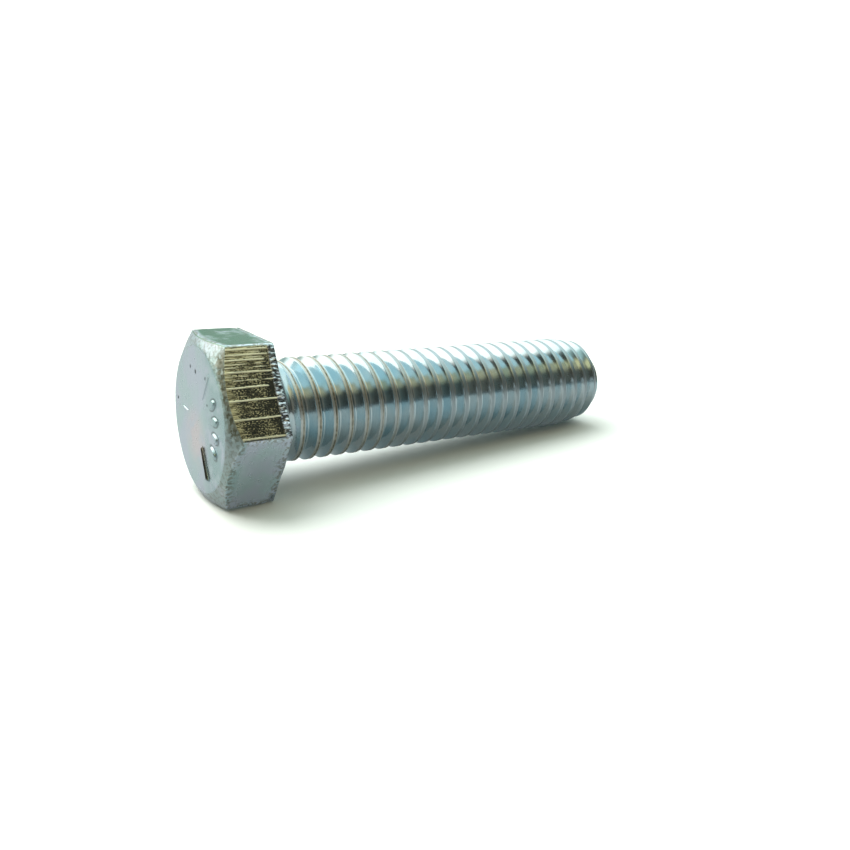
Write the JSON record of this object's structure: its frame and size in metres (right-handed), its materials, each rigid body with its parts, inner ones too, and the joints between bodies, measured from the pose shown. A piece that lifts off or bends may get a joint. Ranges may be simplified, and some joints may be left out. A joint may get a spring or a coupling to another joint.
{
  "type": "hex bolt",
  "caption": "Fully threaded hex bolt in zinc-plated steel, with a chamfered hex head, washer face, right-hand inch thread, tapered point and radial grade lines.",
  "frame": {"origin": "centre of the head's outer face, on the bolt's axis", "axes": "+X runs along the bolt's axis from the head to the point, +Z stands out of the middle of one wrench flat, and +Y passes through a corner of the hexagon"},
  "size_m": [0.0439, 0.0164, 0.0142],
  "materials": {
    "zinc_plated_steel": "bright zinc plate, blue-grey with brass and green tints"
  },
  "bodies": {
    "root": {"hex_bolt": "zinc_plated_steel"}
  },
  "joints": []
}
